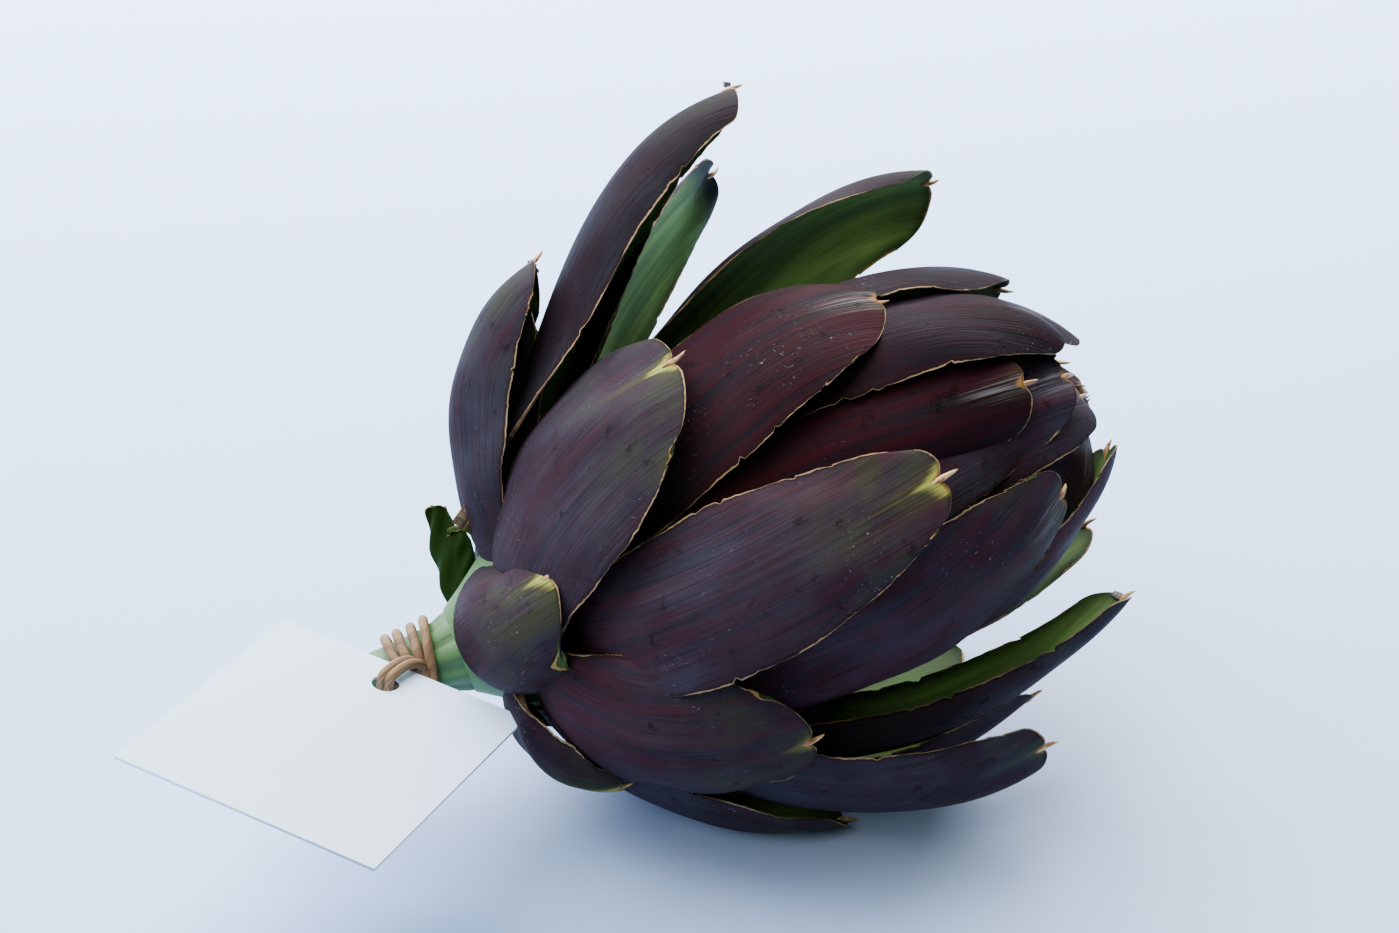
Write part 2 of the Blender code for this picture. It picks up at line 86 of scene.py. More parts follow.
def ramp(tree, value, start, end, low=0.0, high=1.0):
    inputs = {"Value": value, "From Min": start, "From Max": end, "To Min": low, "To Max": high}
    return addNode(tree, "ShaderNodeMapRange", inputs, interpolation_type="SMOOTHSTEP").outputs[0]


def mixed(tree, share, first, second):
    first, second = (linearColour(c) if isinstance(c, str) else c for c in (first, second))
    return addNode(tree, "ShaderNodeMix", {0: share, 6: first, 7: second}, data_type="RGBA").outputs[2]


def noiseOf(tree, vector, scale, detail=3.0, roughness=0.5):
    return addNode(tree, "ShaderNodeTexNoise", {"Vector": vector, "Scale": scale, "Detail": detail,
                                                "Roughness": roughness}).outputs["Fac"]


def placed(tree, x, y, z):
    return addNode(tree, "ShaderNodeCombineXYZ", {0: x, 1: y, 2: z}).outputs[0]


def objectSpot(tree):
    return addNode(tree, "ShaderNodeTexCoord").outputs["Object"]


def newMaterial(name):
    made = bpy.data.materials.new(name)
    made.use_nodes = True
    return made, made.node_tree, made.node_tree.nodes["Principled BSDF"]


def bump(tree, shader, height, distance, strength=1.0):
    made = addNode(tree, "ShaderNodeBump", {"Height": height, "Distance": distance, "Strength": strength})
    tree.links.new(made.outputs[0], shader.inputs["Normal"])


def colourInto(tree, shader, colour):
    tree.links.new(colour, shader.inputs["Base Color"])


# Materials: patterns on Object coordinates have scales per metre, so 1000 draws spots about 1 mm wide

patternScale = dict(fray=1100.0, stretch=110.0, drift=60.0, speck=1500.0, scuff=210.0, marginPatch=260.0,
                    spinePatch=700.0, tipPatch=500.0, coreFibre=500.0, cutPatch=600.0, cardCloud=30.0)
# The near-black colour for whole bracts is painted shade, and the pale grey streak colour is a painted
# highlight over some bloom
outerColours = dict(aubergine="#211a20", wine="#461319", bloom="#393b45", haze="#34361f", paintedShade="#070508",
                    darkFibre="#090509", paleFibre="#58535f", glow="#4b4f1c", flame="#a3a64c",
                    tanFlame="#86683a", bloomAndSheenStreak="#8d8791", dried="#8c6534", speck="#8f929f",
                    scuff="#0b080c", leafDark="#0a1605", leafLight="#1c330c", nearEdge="#1a100c",
                    edge="#8d7555")
innerColours = dict(deep="#5c8046", light="#7ea556", fibre="#93b45c", foot="#86a24e", innerPaintedShade="#0b1208",
                    nearEdge="#0f1a08", tip="#0a0e07", edge="#8f7340")


def bractGrain(tree, acrossScale, alongScale):  # coordinates that run with the bract's fibres, in mm
    side = calc(tree, "MULTIPLY", attributeOf(tree, "side"), acrossScale)
    along = calc(tree, "MULTIPLY", attributeOf(tree, "along"), alongScale)
    return placed(tree, side, along, calc(tree, "MULTIPLY", attributeOf(tree, "seed"), 17.0))


def dryEdge(tree, wide):  # 1 along the dry margin, which frays and fades along the bract
    fray = noiseOf(tree, objectSpot(tree), patternScale["fray"], 3.0)
    stretch = noiseOf(tree, objectSpot(tree), patternScale["stretch"], 2.0)
    fades = ramp(tree, stretch, 0.40, 0.6, 0.05, 1.0)
    reach = calc(tree, "MULTIPLY", calc(tree, "MULTIPLY", fray, fades), wide)
    return ramp(tree, calc(tree, "SUBTRACT", attributeOf(tree, "fromEdge"), reach), 0.08, -0.08)


def outerSkin():  # fine fibres and a waxy bloom leave it almost without gloss
    made, tree, shader = newMaterial("waxy purple bract skin")
    fibre = noiseOf(tree, bractGrain(tree, 2.6, 0.05), 1.0, 3.0, 0.55)
    streak = noiseOf(tree, bractGrain(tree, 0.42, 0.02), 1.0, 4.0, 0.6)
    cloud = noiseOf(tree, bractGrain(tree, 0.10, 0.06), 1.0, 3.0)
    fromTip = attributeOf(tree, "fromTip")
    side = attributeOf(tree, "side")
    along = attributeOf(tree, "along")

    # fresh waxy skin: deep aubergine, turned to a redder wine in long streaks on the closely packed bracts
    red = calc(tree, "MULTIPLY", ramp(tree, streak, 0.28, 0.72), attributeOf(tree, "red"))
    colour = mixed(tree, red, outerColours["aubergine"], outerColours["wine"])
    # a thin grey bloom lies over the upper part, rubbed off in lines and clouds
    clouded = ramp(tree, cloud, 0.30, 0.72, 0.25, 1.0)
    bloom = calc(tree, "MULTIPLY", clouded, ramp(tree, fibre, 0.3, 0.7, 0.7, 1.0))
    bloom = calc(tree, "MULTIPLY", bloom, ramp(tree, along, 2.0, 34.0, 0.35, 1.0))
    bloom = calc(tree, "MULTIPLY", bloom, attributeOf(tree, "bloom"))
    colour = mixed(tree, bloom, colour, outerColours["bloom"])
    # the green beneath shows as an olive haze toward the tip
    haze = calc(tree, "MULTIPLY", ramp(tree, fromTip, 34.0, 6.0), ramp(tree, cloud, 0.42, 0.66))
    haze = calc(tree, "MULTIPLY", haze, attributeOf(tree, "green"))
    colour = mixed(tree, haze, colour, outerColours["haze"])
    # painted shade: some bracts, most of them those on top that catch the overhead light, are darkened all
    # over
    colour = mixed(tree, attributeOf(tree, "paintedShade"), colour, outerColours["paintedShade"])
    # dark fibres, and pale ones that catch the light
    colour = mixed(tree, ramp(tree, fibre, 0.50, 0.28, 0.0, 0.32), colour, outerColours["darkFibre"])
    colour = mixed(tree, ramp(tree, fibre, 0.62, 0.80, 0.0, 0.18), colour, outerColours["paleFibre"])
    # a small flame of yellow-green under the spine, tan where it has dried
    wander = calc(tree, "MULTIPLY", calc(tree, "SUBTRACT", streak, 0.5), 5.0)
    offset = calc(tree, "ABSOLUTE", calc(tree, "ADD", side, wander))
    patch = attributeOf(tree, "patch")
    glow = ramp(tree, calc(tree, "ADD", offset, calc(tree, "MULTIPLY", fromTip, 0.22)), 4.8, 2.0)
    glow = calc(tree, "MULTIPLY", glow, ramp(tree, fibre, 0.36, 0.62, 0.1, 1.0))
    glow = calc(tree, "MULTIPLY", glow, calc(tree, "MULTIPLY", patch, 0.4))
    colour = mixed(tree, glow, colour, outerColours["glow"])
    tan = attributeOf(tree, "tan")
    spread = calc(tree, "ADD", offset, calc(tree, "MULTIPLY", fromTip, 0.42))
    spread = calc(tree, "ADD", spread, calc(tree, "MULTIPLY", tan, 1.7))
    flame = calc(tree, "MULTIPLY", ramp(tree, spread, 3.3, 1.5), ramp(tree, fibre, 0.3, 0.55, 0.3, 1.0))
    warm = mixed(tree, tan, outerColours["flame"], outerColours["tanFlame"])
    colour = mixed(tree, calc(tree, "MULTIPLY", flame, patch), colour, warm)
    # behind a tan patch a painted highlight over some pale bloom runs along the midrib, and every tip is
    # dry at its very end
    pale = calc(tree, "MULTIPLY", ramp(tree, fromTip, 16.0, 6.0), ramp(tree, fibre, 0.42, 0.66))
    pale = calc(tree, "MULTIPLY", pale, ramp(tree, offset, 3.0, 0.4))
    pale = calc(tree, "MULTIPLY", pale, calc(tree, "MULTIPLY", tan, 0.5))
    colour = mixed(tree, pale, colour, outerColours["bloomAndSheenStreak"])
    dried = ramp(tree, calc(tree, "ADD", offset, calc(tree, "MULTIPLY", fromTip, 0.8)), 2.6, 1.4)
    colour = mixed(tree, dried, colour, outerColours["dried"])
    # tiny pale specks and short scratches in drifts, and dull dark scuffs
    drift = ramp(tree, noiseOf(tree, objectSpot(tree), patternScale["drift"]), 0.50, 0.72)
    speck = ramp(tree, noiseOf(tree, objectSpot(tree), patternScale["speck"], 2.0, 0.7), 0.66, 0.73)
    scratch = ramp(tree, noiseOf(tree, bractGrain(tree, 2.2, 0.35), 1.0, 2.0, 0.6), 0.70, 0.76)
    worn = calc(tree, "MULTIPLY", calc(tree, "MAXIMUM", speck, scratch), drift)
    colour = mixed(tree, calc(tree, "MULTIPLY", worn, 0.5), colour, outerColours["speck"])
    scuffNoise = noiseOf(tree, objectSpot(tree), patternScale["scuff"], 4.0, 0.7)
    scuff = ramp(tree, scuffNoise, 0.60, 0.70, 0.0, 0.5)
    colour = mixed(tree, scuff, colour, outerColours["scuff"])
    # brown just inside the margin, then the dry margin itself
    nearEdge = ramp(tree, attributeOf(tree, "fromEdge"), 1.1, 0.2, 0.0, 0.6)
    colour = mixed(tree, nearEdge, colour, outerColours["nearEdge"])
    colour = mixed(tree, dryEdge(tree, 0.55), colour, outerColours["edge"])
    # the little leaf behind the neck is green all over
    leaf = mixed(tree, streak, outerColours["leafDark"], outerColours["leafLight"])
    colour = mixed(tree, attributeOf(tree, "leafy"), colour, leaf)
    colourInto(tree, shader, colour)
    tree.links.new(ramp(tree, fibre, 0.3, 0.7, 0.5, 0.66), shader.inputs["Roughness"])
    shader.inputs["Specular IOR Level"].default_value = 0.02
    relief = calc(tree, "ADD", calc(tree, "MULTIPLY", fibre, 0.55), calc(tree, "MULTIPLY", streak, 1.1))
    bump(tree, shader, calc(tree, "ADD", relief, calc(tree, "MULTIPLY", scuff, 0.6)), 0.00028, 0.75)
    return made


def innerSkin():
    made, tree, shader = newMaterial("green inner bract skin")
    fibre = noiseOf(tree, bractGrain(tree, 2.2, 0.04), 1.0, 4.0, 0.6)
    streak = noiseOf(tree, bractGrain(tree, 0.35, 0.02), 1.0, 3.0)
    along = attributeOf(tree, "along")
    fromTip = attributeOf(tree, "fromTip")
    fromEdge = attributeOf(tree, "fromEdge")
    # smooth green flesh with paler fibres, lightest near the foot
    colour = mixed(tree, ramp(tree, streak, 0.35, 0.7), innerColours["deep"], innerColours["light"])
    colour = mixed(tree, ramp(tree, fibre, 0.5, 0.75, 0.0, 0.45), colour, innerColours["fibre"])
    colour = mixed(tree, ramp(tree, along, 40.0, 8.0, 0.0, 0.5), colour, innerColours["foot"])
    # painted shade: the green faces of the bracts under and behind the head are darkened as if the head
    # shades them
    colour = mixed(tree, attributeOf(tree, "innerPaintedShade"), colour, innerColours["innerPaintedShade"])
    # darker, nearly black toward the edges and the tip
    colour = mixed(tree, ramp(tree, fromEdge, 3.4, 0.3, 0.0, 0.65), colour, innerColours["nearEdge"])
    darkTip = calc(tree, "MULTIPLY", ramp(tree, fromTip, 15.0, 2.0), attributeOf(tree, "dark"))
    colour = mixed(tree, darkTip, colour, innerColours["tip"])
    colour = mixed(tree, dryEdge(tree, 0.9), colour, innerColours["edge"])
    colourInto(tree, shader, colour)
    shader.inputs["Roughness"].default_value = 0.6
    shader.inputs["Specular IOR Level"].default_value = 0.05
    bump(tree, shader, fibre, 0.00025, 0.6)
    return made


def dryMargin():  # the thin rim has dried to dull paper, brown with tan patches
    made, tree, shader = newMaterial("dry papery margin")
    patches = noiseOf(tree, objectSpot(tree), patternScale["marginPatch"], 5.0, 0.65)
    colour = mixed(tree, ramp(tree, patches, 0.40, 0.62), "#2c1b15", "#867050")
    colourInto(tree, shader, mixed(tree, attributeOf(tree, "leafy"), colour, "#4d4a2c"))
    shader.inputs["Roughness"].default_value = 0.8
    return made


def drySpine():  # hard and woody, brown with pale tan patches
    made, tree, shader = newMaterial("dry spine")
    patches = noiseOf(tree, objectSpot(tree), patternScale["spinePatch"], 3.0)
    colourInto(tree, shader, mixed(tree, ramp(tree, patches, 0.4, 0.6), "#8a5f38", "#d0a76c"))
    shader.inputs["Roughness"].default_value = 0.5
    return made


def blackTip():  # dead scraps are crinkled, and nearly black with olive patches
    made, tree, shader = newMaterial("curled dead tip")
    patches = noiseOf(tree, objectSpot(tree), patternScale["tipPatch"], 4.0)
    colourInto(tree, shader, mixed(tree, ramp(tree, patches, 0.4, 0.65), "#0d0c09", "#33301f"))
    shader.inputs["Roughness"].default_value = 0.6
    bump(tree, shader, patches, 0.0003, 0.8)
    return made


def coreSkin():  # green at the neck, and dark where the bracts shade the heart
    made, tree, shader = newMaterial("neck and shaded heart")
    fibre = noiseOf(tree, objectSpot(tree), patternScale["coreFibre"], 4.0)
    foot = ramp(tree, attributeOf(tree, "along"), 14.0, 3.0)
    colour = mixed(tree, fibre, "#0b0609", "#190c12")
    colour = mixed(tree, foot, colour, mixed(tree, fibre, "#2f5722", "#4e7a3a"))
    colourInto(tree, shader, colour)
    shader.inputs["Roughness"].default_value = 0.55
    return made


def stemSkin():  # fresh green with a soft sheen, and fine fibres that run along the stem
    made, tree, shader = newMaterial("green stem skin")
    grain = placed(tree, calc(tree, "MULTIPLY", attributeOf(tree, "side"), 0.8),
                   calc(tree, "MULTIPLY", attributeOf(tree, "along"), 0.05), 0.0)
    fine = noiseOf(tree, grain, 1.0, 4.0)
    colour = mixed(tree, ramp(tree, fine, 0.3, 0.75), "#2f5624", "#4c763a")
    colourInto(tree, shader, colour)
    shader.inputs["Roughness"].default_value = 0.5
    bump(tree, shader, fine, 0.0004, 0.6)
    return made


def cutStem():  # the pith is pale, dry and dull
    made, tree, shader = newMaterial("pale cut stem")
    patches = noiseOf(tree, objectSpot(tree), patternScale["cutPatch"], 4.0)
    colourInto(tree, shader, mixed(tree, patches, "#8c7c4c", "#c2bd8b"))
    shader.inputs["Roughness"].default_value = 0.8
    return made


def plantFibre():  # dull tan strands with darker lines along them
    made, tree, shader = newMaterial("dry plant fibre")
    grain = placed(tree, calc(tree, "MULTIPLY", attributeOf(tree, "side"), 3.0),
                   calc(tree, "MULTIPLY", attributeOf(tree, "along"), 0.12), 0.0)
    fine = noiseOf(tree, grain, 1.0, 4.0, 0.6)
    colour = mixed(tree, ramp(tree, fine, 0.35, 0.7), "#5a3f25", "#98794f")
    colourInto(tree, shader, colour)
    shader.inputs["Roughness"].default_value = 0.7
    bump(tree, shader, fine, 0.0004, 0.8)
    return made


def whiteCard():  # uncoated card, matt and almost even in colour
    made, tree, shader = newMaterial("white card")
    patches = noiseOf(tree, objectSpot(tree), patternScale["cardCloud"], 3.0)
    # painted light: the white card is tinted a little blue for the cool light of the room
    colourInto(tree, shader, mixed(tree, patches, "#c3dff2", "#cbe4f5"))
    shader.inputs["Roughness"].default_value = 0.55
    return made


skins = dict(outer=outerSkin(), inner=innerSkin(), margin=dryMargin(), spine=drySpine(), flake=blackTip())
coreMaterial = coreSkin()
stemMaterials = [stemSkin(), cutStem()]
fibre = plantFibre()
card = whiteCard()
print("materials made")


# Bracts

tipRounding = 0.7  # 1 makes a tip a half circle
widestAt = 0.5  # share of the length
rootWidth = 0.62  # shares of the greatest width
tipWidth = 0.7
midribSteps = 120
rootThickness = 5.5  # mm, where a bract joins the head
bladeThickness = 1.2
marginThickness = 0.22
rootMargin = 2.5  # mm, at the edges there
rootReach = 0.35  # share of the length that the thick root takes
tipReach = 0.1  # share of it over which a tip thins out
bractColumns = 24
bractRows = 110
columnCrowding = 0.25  # how far the grid's lines crowd toward the margins, and toward the tip
rowCrowding = 0.3
reliefDepth = 0.35  # mm
floorSoftness = 0.5  # square mm, how softly a blade bends where it meets the floor
outlineRound = 0.985  # under 1, so that a tip's outline doesn't turn straight back at the margins
tipNotch = dict(deep=1.3, wide=1.6, starts=0.93, span=0.07)  # the first two in mm, the rest in shares
marginWear = dict(knots=90, fray=0.07, wave=0.16, nicks=4, nickReach=0.01)
# In mm, but back is the share of the bract's length from which the spike carries on
spineSize = dict(length=3.0, sunk=1.6, deep=0.45, foot=0.46, waist=0.12, point=0.05, back=0.95)
# In mm, but turn is in radians, and reach and wide are shares of the flake's size
flakeSize = dict(deep=0.4, reach=0.45, wide=0.55, turn=2.6, low=0.3, back=1.3, thick=0.3)


def midribOf(shape):  # distances along and out from the axis, and the angle, at each share of the length
    shares = np.linspace(0, 1, midribSteps + 1)
    first, middle, last = np.radians(shape["open"])
    angles = first * (1 - shares) ** 2 + 2 * middle * shares * (1 - shares) + last * shares ** 2
    between = (angles[1:] + angles[:-1]) / 2
    step = shape["length"] / midribSteps
    along = shape["root"][0] + np.concatenate([[0], np.cumsum(np.cos(between)) * step])
    out = shape["root"][1] + np.concatenate([[0], np.cumsum(np.sin(between)) * step])
    return shares, along, out, angles


def halfWidthOf(shape, share):
    base, blunt = shape.get("base", rootWidth), shape.get("blunt", tipWidth)
    low = base + (1 - base) * np.sin(math.pi / 2 * np.minimum(share, widestAt) / widestAt)
    past = np.maximum(share - widestAt, 0) / (1 - widestAt)
    return shape["width"] / 2 * low * (1 - (1 - blunt) * past ** 2)


def bractSpot(shape, across, share, deep=0.0):  # points in mm of the outer face, or that deep below it
    standBack = 1 - np.sqrt(1 - outlineRound * np.minimum(np.abs(across), 1) ** 2)
    standBack *= shape.get("rounding", tipRounding)
    tipHalf = shape["width"] / 2 * shape.get("blunt", tipWidth)
    trimmed = share - share ** 4 * tipHalf / shape["length"] * standBack
    sideway = halfWidthOf(shape, share) * across
    notch = tipNotch["deep"] / shape["length"] * np.exp(-(sideway / tipNotch["wide"]) ** 2)
    trimmed = trimmed - notch * np.clip((share - tipNotch["starts"]) / tipNotch["span"], 0, 1) ** 2
    shares, alongs, outs, angles = midribOf(shape)
    along, out, angle = (np.interp(trimmed, shares, line)[:, None] for line in (alongs, outs, angles))
    azimuth = np.radians(shape["azimuth"] + shape.get("twist", 0) * trimmed)[:, None]
    radius = (shape["cup"][0] + (shape["cup"][1] - shape["cup"][0]) * trimmed)[:, None]
    turned = sideway[:, None] / radius
    outward = np.cos(azimuth) * frontWay + np.sin(azimuth) * overWay
    roundWay = -np.sin(azimuth) * frontWay + np.cos(azimuth) * overWay
    normal = np.cos(angle) * outward - np.sin(angle) * headAxis
    roll = np.radians(shape.get("roll", 0) * trimmed + shape.get("roll_root", 0))[:, None]
    flat = np.cos(roll) * roundWay + np.sin(roll) * normal
    normal = np.cos(roll) * normal - np.sin(roll) * roundWay
    face = np.cos(turned) * normal + np.sin(turned) * flat
    spot = along * headAxis + out * outward
    spot = spot + radius * np.sin(turned) * flat - radius * (1 - np.cos(turned)) * normal
    return headFoot + spot - np.reshape(deep, (-1, 1)) * face, face


def swell(draw, across, share, waves=7):  # a smooth uneven surface, about -1 to 1
    total = np.zeros_like(across)
    for _ in range(waves):
        sideTurns, lengthTurns = draw.uniform(0.2, 1.1), draw.uniform(0.5, 3.2)
        total += np.sin(2 * math.pi * (sideTurns * across + lengthTurns * share) + draw.uniform(0, 6.28))
    return total / math.sqrt(waves)


def raggedEdge(draw, share):  # mm that a margin stands out, along the bract
    knots = np.linspace(0, 1, marginWear["knots"])
    edge = np.interp(share, knots, draw.normal(0, marginWear["fray"], len(knots)))
    edge += marginWear["wave"] * np.sin(2 * math.pi * draw.uniform(2, 5) * share + draw.uniform(0, 6.28))
    for _ in range(marginWear["nicks"]):
        place, depth = draw.uniform(0.4, 0.96), draw.uniform(0.25, 1.0)
        edge -= depth * np.clip(1 - np.abs(share - place) / marginWear["nickReach"], 0, 1)
    return edge


def restOnFloor(spots):  # what would dip under the surface the head lies on is pressed flat on it
    height = spots[:, 2]
    spots[:, 2] = 0.5 * (height + np.sqrt(height ** 2 + floorSoftness))
    return spots


def setAttribute(piece, name, values):
    made = piece.data.attributes.new(name, "FLOAT", "POINT")
    made.data.foreach_set("value", np.ascontiguousarray(values, np.float32))


def applyModifier(piece, name):
    bpy.context.view_layer.objects.active = piece
    bpy.ops.object.modifier_apply(modifier=name)


def makeBract(name, shape, seed, look):
    bpy.ops.mesh.primitive_grid_add(x_subdivisions=bractColumns, y_subdivisions=bractRows, size=2)
    piece = bpy.context.object
    piece.name = "bract_" + name
    count = len(piece.data.vertices)
    flat = np.empty(count * 3)
    piece.data.vertices.foreach_get("co", flat)
    flat = flat.reshape(-1, 3)
    across = flat[:, 0] * (1 + columnCrowding) - flat[:, 0] ** 3 * columnCrowding
    share = (flat[:, 1] + 1) / 2
    share = share * (1 + rowCrowding) - share ** 3 * rowCrowding
    draw = np.random.default_rng(seed)
    halfWidth = halfWidthOf(shape, share)
    edges = np.where(flat[:, 0] < 0, raggedEdge(draw, share), raggedEdge(draw, share))
    edges = edges * shape.get("ragged", 1.0)
    raggedAcross = across * (1 + edges / halfWidth * np.abs(across) ** 6)
    relief = reliefDepth * swell(draw, across, share) * np.clip(share * 4, 0, 1)
    spots, face = bractSpot(shape, raggedAcross, share, -relief)
    spots = restOnFloor(spots)
    piece.data.vertices.foreach_set("co", (spots * mm).ravel())
    piece.data.update()
    bpy.ops.object.mode_set(mode="EDIT")
    bpy.ops.mesh.select_all(action="SELECT")
    middle = piece.data.polygons[len(piece.data.polygons) // 2]  # tells whether the grid faces outwards
    nearest = np.argmin(np.linalg.norm(spots * mm - np.array(middle.center), axis=1))
    if Vector(face[nearest]).dot(middle.normal) < 0:
        bpy.ops.mesh.flip_normals()
    bpy.ops.object.mode_set(mode="OBJECT")

    fromEdge = (1 - np.abs(across)) * halfWidth
    tipDistance = (1 - share) * shape["length"]
    values = dict(side=across * halfWidth, along=share * shape["length"], fromTip=tipDistance,
                  fromEdge=np.minimum(fromEdge, tipDistance), seed=np.full(count, float(seed)))
    for key, value in look.items():
        values[key] = np.full(count, float(value))
    for key, value in values.items():
        setAttribute(piece, key, value)

    fleshy = np.maximum(0, 1 - share / rootReach) ** 2
    thick = bladeThickness + (rootThickness - bladeThickness) * fleshy
    margin = marginThickness + (rootMargin - marginThickness) * fleshy
    edgeShare = np.maximum(np.abs(across) ** 3, np.clip((share - 1 + tipReach) / tipReach, 0, 1))
    thick = thick * (1 - edgeShare) + margin * edgeShare
    group = piece.vertex_groups.new(name="thickness")
    for i in range(count):
        group.add([i], float(thick[i] / rootThickness), "REPLACE")
    solid = piece.modifiers.new("solid", "SOLIDIFY")
    solid.thickness = rootThickness * mm
    solid.offset = -1.0
    solid.vertex_group = "thickness"
    solid.material_offset = 1
    solid.material_offset_rim = 2
    for skin in ("outer", "inner", "margin", "spine", "flake"):
        piece.data.materials.append(skins[skin])
    applyModifier(piece, "solid")
    piece.vertex_groups.clear()
    if shape.get("spine", spineSize["length"]) > 0:
        addSpine(piece, shape, draw)
    for corner in shape.get("flakes", ()):
        addFlake(piece, shape, corner, draw)
    bpy.ops.object.select_all(action="DESELECT")
    piece.select_set(True)
    bpy.context.view_layer.objects.active = piece
    bpy.ops.object.shade_smooth_by_angle(angle=math.radians(50))
    bpy.ops.object.select_all(action="DESELECT")
    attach(piece, "root")
    return piece


def addSpine(piece, shape, draw):  # a dry spike that carries on the midrib, a little hooked
    shares = np.array((spineSize["back"], 1.0))
    (back, tip), (_, face) = bractSpot(shape, np.zeros(2), shares, spineSize["deep"])
    ahead = (tip - back) / np.linalg.norm(tip - back)
    length = shape.get("spine", spineSize["length"]) * draw.uniform(0.8, 1.15)
    hook = draw.uniform(-0.2, 0.4)
    sunk = spineSize["sunk"]
    points, radii = [], []
    for step in np.linspace(0, 1, 9):
        reach = -sunk + step * (length + sunk)
        points.append(tip + ahead * reach + face * hook * max(reach, 0) ** 2 / length)
        taper = (1 - max(reach, 0) / length) ** 0.8
        radii.append(spineSize["waist"] + spineSize["foot"] * min(1.0, (reach + sunk) / sunk) * taper)
    radii[-1] = spineSize["point"]
    spike = taperedTube("spike", restOnFloor(np.array(points)), radii, 3)
    joinTo(piece, spike, "spine")


def addFlake(piece, shape, corner, draw):  # a dead scrap of the tip's edge, curled over and black
    across, size = corner
    spots, faces = bractSpot(shape, np.array((across, across)), np.array((0.985, 1.0)), flakeSize["deep"])
    ahead = spots[1] - spots[0]
    ahead /= np.linalg.norm(ahead)
    face = faces[1]
    beside = np.cross(ahead, face)
    bpy.ops.mesh.primitive_grid_add(x_subdivisions=10, y_subdivisions=10, size=2)
    flake = bpy.context.object
    for vert in flake.data.vertices:
        u, v = vert.co.x, vert.co.y
        ragged = 1 + 0.25 * math.sin(5 * u + 7 * v + across)
        bend = flakeSize["turn"] * (v + 1) / 2
        reach = size * flakeSize["reach"] * math.sin(bend) * ragged
        rise = size * flakeSize["reach"] * (1 - math.cos(bend)) - flakeSize["low"]
        wide = size * flakeSize["wide"] * u * (1 - 0.35 * (v + 1) / 2) * ragged
        spot = spots[1] + ahead * (reach - flakeSize["back"]) + beside * wide
        spot = spot + face * rise * draw.uniform(0.95, 1.05)
        vert.co = Vector(spot * mm)
    solid = flake.modifiers.new("solid", "SOLIDIFY")
    solid.thickness = flakeSize["thick"] * mm
    solid.offset = 0.0
    applyModifier(flake, "solid")
    joinTo(piece, flake, "flake")


def joinTo(piece, scrap, skin):
    scrap.data.materials.clear()
    scrap.data.materials.append(skins[skin])
    bpy.ops.object.select_all(action="DESELECT")
    scrap.select_set(True)
    piece.select_set(True)
    bpy.context.view_layer.objects.active = piece
    bpy.ops.object.join()


def taperedTube(name, points, radii, resolution, cyclic=False):  # points and radii in mm
    curve = bpy.data.curves.new(name, "CURVE")
    curve.dimensions = "3D"
    curve.bevel_depth = mm
    curve.bevel_resolution = resolution
    curve.use_fill_caps = not cyclic
    spline = curve.splines.new("POLY")
    spline.points.add(len(points) - 1)
    for spot, point, radius in zip(spline.points, points, radii):
        spot.co = (*(np.array(point) * mm), 1.0)
        spot.radius = radius
    spline.use_cyclic_u = cyclic
    piece = bpy.data.objects.new(name, curve)
    bpy.context.collection.objects.link(piece)
    bpy.ops.object.select_all(action="DESELECT")
    piece.select_set(True)
    bpy.context.view_layer.objects.active = piece
    bpy.ops.object.convert(target="MESH")
    piece = bpy.context.object
    piece.data.shade_smooth()
    return piece


